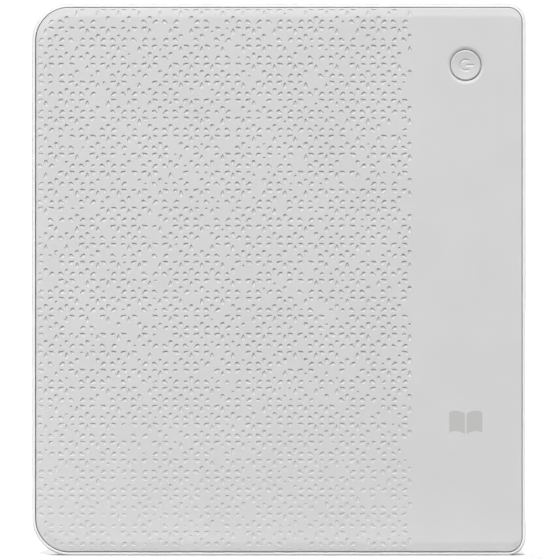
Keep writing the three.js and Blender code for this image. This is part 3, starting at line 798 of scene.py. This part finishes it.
def page_key(which):
    """A pill-shaped key with a rounded edge and a shallow hollow for the thumb, tilted like the grip."""
    solid = Solid()
    z = page_z[which]
    half = PAGE_WIDTH / 2
    profile = [(0.0, -KEY_BACK), (0.0, KEY_PROUD - KEY_ROUND)]
    for a in np.radians([20, 40, 60, 80]):
        profile.append((KEY_ROUND * (1 - math.cos(a)), KEY_PROUD - KEY_ROUND * (1 - math.sin(a))))
    for inset in KEY_RINGS:
        profile.append((inset, KEY_PROUD - KEY_DISH * (1 - ((half - inset) / (half - KEY_ROUND)) ** 2)))
    loops = []
    for inset, out in profile:
        shape = pill(PAGE_X, z, PAGE_WIDTH - 2 * inset, PAGE_LENGTH - 2 * inset)
        loops.append(solid.add(shape, PAGE_Y + (shape[:, 0] - PAGE_X) * RAMP_SLOPE - out))
    solid.closed(loops)
    node = f"page_key_{which}"
    key = solid.object(f"page_key_cap_{which}", f"{node}_body", "button_grey", [node])
    soften(key)
    paint(key, "button_grey")


for which in page_z:
    page_key(which)


# ---------------------------------------------------------------- power button
CAP_DISH = 0.34
CAP_EDGE = [(0, 0.3), (0.08, 0.15), (0.23, 0.04), (0.35, 0)]  # its rounding: insets and drops
CAP_RINGS = (4.0, 3.6, 3.1, 2.6, 2.2)  # radii of the rings in its hollow
HOLLOW_RADIUS = 3.6  # hollow under the cap
SIGN_RADIUS, SIGN_HALF = 1.58, 0.42  # the broken ring's middle line, and half its stroke
SIGN_DEPTH, SIGN_WALL = 0.19, 0.34
SIGN_OPENING = 44  # half of the broken ring's opening, in degrees
BAR_START, BAR_END = 0.45, 2.2


def cap_y(x, z):
    """Height of the cap's dished face."""
    reach = np.hypot(x - BUTTON_AT[0], z - BUTTON_AT[1]) / (BUTTON_RADIUS - CAP_EDGE[-1][0])
    return button_high.y - CAP_DISH * np.clip(1 - reach**2, 0, 1)


def sign_shape(local):
    """A drawing on the cap: u points to the grip's edge and v points up."""
    return np.array([(BUTTON_AT[0] - u, BUTTON_AT[1] + v) for u, v in local])


def power_sign(shrink):
    """The on-off sign's broken ring and bar, each drawn in from its edge."""
    half = SIGN_HALF - shrink
    start = SIGN_OPENING + math.degrees(shrink / SIGN_RADIUS)
    outer = arc(0, 0, SIGN_RADIUS + half, start, 360 - start, 26)
    inner = arc(0, 0, SIGN_RADIUS - half, 360 - start, start, 26)
    bar = np.concatenate([arc(BAR_END, 0, half, -90, 90, 6), arc(BAR_START, 0, half, 90, 270, 6)])
    return [sign_shape(np.concatenate([outer, inner])), sign_shape(bar)]


def power_button():
    """The button: hollow but for the post over its plunger, and held in by a flange inside the cover."""
    solid = Solid()
    post = (plunger_high.x - plunger_low.x) / 2
    flange = (button_high.x - button_low.x) / 2
    hollow = Y_COVER_INSIDE + 0.15
    held = Y_COVER_INSIDE - 0.05
    profile = [(post, plunger_high.y + 0.02), (post, hollow)]
    profile += [(HOLLOW_RADIUS, hollow), (HOLLOW_RADIUS, button_low.y)]
    profile += [(flange, button_low.y), (flange, held), (BUTTON_RADIUS, held)]
    profile += [(BUTTON_RADIUS - inset, button_high.y - below) for inset, below in CAP_EDGE]
    loops = [solid.add(circle(*BUTTON_AT, radius, HOLE_STEPS), y) for radius, y in profile]
    solid.bands(loops)
    solid.face(loops[0])
    rings = [loops[-1]]
    for lip, floor in zip(power_sign(0), power_sign(SIGN_WALL)):
        rings.append(solid.add(lip, cap_y(*lip.T)))
        rings.append(solid.add(floor, cap_y(*floor.T) - SIGN_DEPTH))
    bowl = np.concatenate([circle(*BUTTON_AT, radius, 48) for radius in CAP_RINGS])
    bowl = bowl[~inside(bowl, power_sign(0)[1])]
    loose = solid.add(bowl, cap_y(*bowl.T))
    solid.fill(rings, loose, lambda middles: np.ones(len(middles), bool))
    cap = solid.object("power_button_cap", "power_button_body", "button_grey", ["power_button"])
    soften(cap, 24)
    paint(cap, "button_grey")


power_button()


# ---------------------------------------------------------------- screen
PAGE_BORDER = 0.8  # plain strip between the window's edge and the page
PANEL_BEVEL = 0.1


def screen():
    """The touch panel: its blank page, in the frame of its plain border."""
    solid = Solid()
    page = {
        "x0": WINDOW["x0"] + PAGE_BORDER,
        "x1": WINDOW["x1"] - PAGE_BORDER,
        "z0": WINDOW["z0"] + PAGE_BORDER,
        "z1": WINDOW["z1"] - PAGE_BORDER,
    }
    back = solid.add(rounded_box(WINDOW, LIP_LAP, 0.1), panel_high.y)
    side = solid.add(rounded_box(WINDOW, LIP_LAP, 0.1), panel_low.y + PANEL_BEVEL)
    front = solid.add(rounded_box(WINDOW, LIP_LAP - PANEL_BEVEL, 0.1), panel_low.y)
    page_edge = solid.add(rounded_box(page, 0, 0.05), panel_low.y)
    solid.bands([back, side, front, page_edge])
    solid.face(back)
    solid.face(page_edge, 1)
    panel = solid.object("screen", "reader_body", "screen_film", ["touch_panel"])
    soften(panel)
    paint(panel, "screen_film", "blank_page")


screen()


# ---------------------------------------------------------------- USB-C socket and status light
SOCKET_WALL = 0.3
TONGUE_HALF_THICK, TONGUE_HALF_WIDE, TONGUE_BEVEL = 0.33, 3.3, 0.12
CONTACTS = 12  # on each face of the tongue
CONTACT_PITCH, CONTACT_HALF, CONTACT_BEVEL = 0.5, 0.13, 0.01
CONTACT_START, CONTACT_END = 0.5, 4.4  # from the tongue's tip
CONTACT_FOOT, CONTACT_TOP = 0.3, 0.36  # from the tongue's middle plane
BLOCK_LENGTH, BLOCK_GAP = 1.5, 0.36  # the block that holds the tongue, and the wall and gap round it
LENS_RADIUS = 0.6


def usb_socket():
    solid = Solid()
    x0, x1 = socket_low.x, socket_high.x
    profile = [(x1, 0), (x0 + 0.12, 0), (x0 + 0.03, -0.05), (x0, -0.13)]
    profile += [(x0 + 0.03, -0.22), (x0 + 0.15, -SOCKET_WALL), (x1, -SOCKET_WALL)]
    loops = [side_loop(solid, side_pill(socket_low, socket_high, grow, 12), x) for x, grow in profile]
    solid.bands(loops + loops[:1])
    shell = solid.object("usb_socket_shell", "reader_body", "tinned_steel", ["usb_shell"])
    soften(shell)
    paint(shell, "tinned_steel")


def slab(solid, xs, ys, zs, bevel, tag):
    """A flat bar between pairs of limits, with its long edges cut off and its front end drawn in."""
    y0, y1 = ys
    z0, z1 = zs
    section = [(y0, z0 + bevel), (y0 + bevel, z0), (y1 - bevel, z0), (y1, z0 + bevel)]
    section += [(y1, z1 - bevel), (y1 - bevel, z1), (y0 + bevel, z1), (y0, z1 - bevel)]
    middle = np.mean(section, 0)
    loops = []
    for x, shrink in [(xs[1], 1.0), (xs[0] + bevel, 1.0), (xs[0], 0.94)]:
        loops.append(side_loop(solid, middle + (np.array(section) - middle) * shrink, x))
    solid.closed(loops, tag)


def usb_tongue():
    low, high = box_mm("usb_tongue")
    y, z = (low.y + high.y) / 2, (low.z + high.z) / 2
    solid = Solid()
    thick = (y - TONGUE_HALF_THICK, y + TONGUE_HALF_THICK)
    slab(solid, (low.x, high.x), thick, (z - TONGUE_HALF_WIDE, z + TONGUE_HALF_WIDE), TONGUE_BEVEL, 0)
    for face in (-1, 1):
        for i in range(CONTACTS):
            at = z + (i - (CONTACTS - 1) / 2) * CONTACT_PITCH
            along = (low.x + CONTACT_START, low.x + CONTACT_END)
            proud = sorted((y + face * CONTACT_FOOT, y + face * CONTACT_TOP))
            slab(solid, along, proud, (at - CONTACT_HALF, at + CONTACT_HALF), CONTACT_BEVEL, 1)
    block = side_pill(socket_low, socket_high, -BLOCK_GAP)
    back = side_loop(solid, block, high.x)
    front = side_loop(solid, block, high.x - BLOCK_LENGTH)
    solid.closed([back, front])
    tongue = solid.object("usb_socket_tongue", "reader_body", "chip_black", ["usb_tongue"])
    soften(tongue)
    paint(tongue, "chip_black", "contact_gold")


def light_lens():
    """The light pipe's end, slightly domed."""
    solid = Solid()
    y, z = (pipe_low.y + pipe_high.y) / 2, (pipe_low.z + pipe_high.z) / 2
    profile = [(pipe_high.x, LENS_RADIUS), (pipe_low.x + 0.1, LENS_RADIUS), (pipe_low.x + 0.03, 0.5)]
    profile += [(pipe_low.x, 0.3), (pipe_low.x, 0.05)]
    solid.closed([side_loop(solid, circle(y, z, radius, 32), x) for x, radius in profile])
    lens = solid.object("light_lens", "reader_body", "clear_guide", ["light_pipe"])
    soften(lens, 40)
    paint(lens, "clear_guide")


usb_socket()
usb_tongue()
light_lens()


# ---------------------------------------------------------------- floor, light and camera
FLOOR_HALF = 8.0  # metres
BOUNCE_NEAR, BOUNCE_FAR = 0.5, 0.14  # share of light that the floor throws back near the reader and far off
BOUNCE_REACH = 20 * MM
HORIZON, SKY = 1.05, 0.06  # strength of the white round the horizon, and of the sky above it
HORIZON_END, SKY_START = 0.1, 0.18  # heights on a sphere of radius 1
VIEW_DISTANCE, VIEW_HEIGHT = 1.0, 163.6 * MM
VIEW_X, VIEW_UP = -0.2 * MM, 0.05 * MM  # the view's middle, from the reader's
SENSOR = 36


def stage_floor():
    """A pale floor: white to look at, and grey in the light it throws back, so the relief keeps shadows."""
    h = FLOOR_HALF
    mesh = bpy.data.meshes.new("floor")
    mesh.from_pydata([(-h, -h, 0), (h, -h, 0), (h, h, 0), (-h, h, 0)], [], [(0, 1, 2, 3)])
    floor = placed("floor", mesh)
    material, tree, shader = nodes_of("floor_paint")
    shader.inputs["Roughness"].default_value = 0.9
    seen = mixed(tree, noise(tree, 300), (0.91, 0.91, 0.91), (0.93, 0.93, 0.93))
    path = tree.nodes.new("ShaderNodeLightPath")
    place = tree.nodes.new("ShaderNodeTexCoord")
    split = tree.nodes.new("ShaderNodeSeparateXYZ")
    away = tree.nodes.new("ShaderNodeMath")
    away.operation = "ABSOLUTE"
    bounce = tree.nodes.new("ShaderNodeMapRange")
    bounce.inputs["From Max"].default_value = BOUNCE_REACH
    bounce.inputs["To Min"].default_value = BOUNCE_NEAR
    bounce.inputs["To Max"].default_value = BOUNCE_FAR
    tree.links.new(place.outputs["Object"], split.inputs["Vector"])
    tree.links.new(split.outputs["Y"], away.inputs[0])
    tree.links.new(away.outputs["Value"], bounce.inputs["Value"])
    choice = tree.nodes.new("ShaderNodeMix")
    choice.data_type = "RGBA"
    tree.links.new(bounce.outputs["Result"], choice.inputs["A"])
    tree.links.new(path.outputs["Is Camera Ray"], choice.inputs["Factor"])
    tree.links.new(seen, choice.inputs["B"])
    tree.links.new(choice.outputs["Result"], shader.inputs["Base Color"])
    mesh.materials.append(material)


def world():
    """White round the horizon, where it is seen, and dimmer above."""
    made = bpy.data.worlds.new("studio")
    bpy.context.scene.world = made
    made.use_nodes = True
    tree = made.node_tree
    place = tree.nodes.new("ShaderNodeTexCoord")
    split = tree.nodes.new("ShaderNodeSeparateXYZ")
    fade = tree.nodes.new("ShaderNodeMapRange")
    fade.interpolation_type = "SMOOTHSTEP"
    fade.inputs["From Min"].default_value = HORIZON_END
    fade.inputs["From Max"].default_value = SKY_START
    fade.inputs["To Min"].default_value = HORIZON
    fade.inputs["To Max"].default_value = SKY
    tree.links.new(place.outputs["Generated"], split.inputs["Vector"])
    tree.links.new(split.outputs["Z"], fade.inputs["Value"])
    background = tree.nodes["Background"]
    background.inputs["Color"].default_value = (1, 1, 1, 1)
    tree.links.new(fade.outputs["Result"], background.inputs["Strength"])


def aim(lamp, azimuth, elevation):
    """Turns a lamp to shine from a direction, and returns that direction. Azimuth 0 is +Y and 90 is +X."""
    a, e = math.radians(azimuth), math.radians(elevation)
    towards = Vector((math.sin(a) * math.cos(e), math.cos(a) * math.cos(e), math.sin(e)))
    lamp.rotation_euler = (-towards).to_track_quat("-Z", "Y").to_euler()
    return towards


def soft_light(name, azimuth, elevation, strength, spread=25):
    """A far light. White paper that faces a light of strength 1 is lit to 1."""
    light = bpy.data.lights.new(name, "SUN")
    light.energy = strength * math.pi
    light.angle = math.radians(spread)
    lamp = placed(name, light)
    lamp.location = aim(lamp, azimuth, elevation)


def near_panel(azimuth, elevation, distance, strength):
    """A near light panel, turned to the reader's middle, that lights the side next to it a little more."""
    light = bpy.data.lights.new("panel", "AREA")
    light.shape = "SQUARE"
    light.size = 0.3
    light.energy = strength * math.pi**2 * distance**2 / math.cos(math.radians(azimuth))
    lamp = placed("panel", light)
    lamp.location = Vector((0, 0, HEIGHT * MM / 2)) + distance * aim(lamp, azimuth, elevation)
    lamp.visible_camera = False


def camera():
    """Square on to the back, from far enough that the reader looks almost flat."""
    lens = bpy.data.cameras.new("camera")
    lens.sensor_width = SENSOR
    lens.lens = SENSOR * VIEW_DISTANCE / VIEW_HEIGHT
    seen = placed("camera", lens)
    seen.location = (VIEW_X, Y_BACK * MM + VIEW_DISTANCE, HEIGHT * MM / 2 + VIEW_UP)
    seen.rotation_euler = (math.radians(90), 0, math.radians(180))
    bpy.context.scene.camera = seen


stage_floor()
world()
soft_light("key", 5, 50, 1.05, 9)
soft_light("front_key", 150, 50, 0.85, 20)
soft_light("right_fill", -90, 10, 0.34)
near_panel(60, 10, 0.6, 0.07)
camera()
bpy.context.scene.view_settings.view_transform = "Standard"
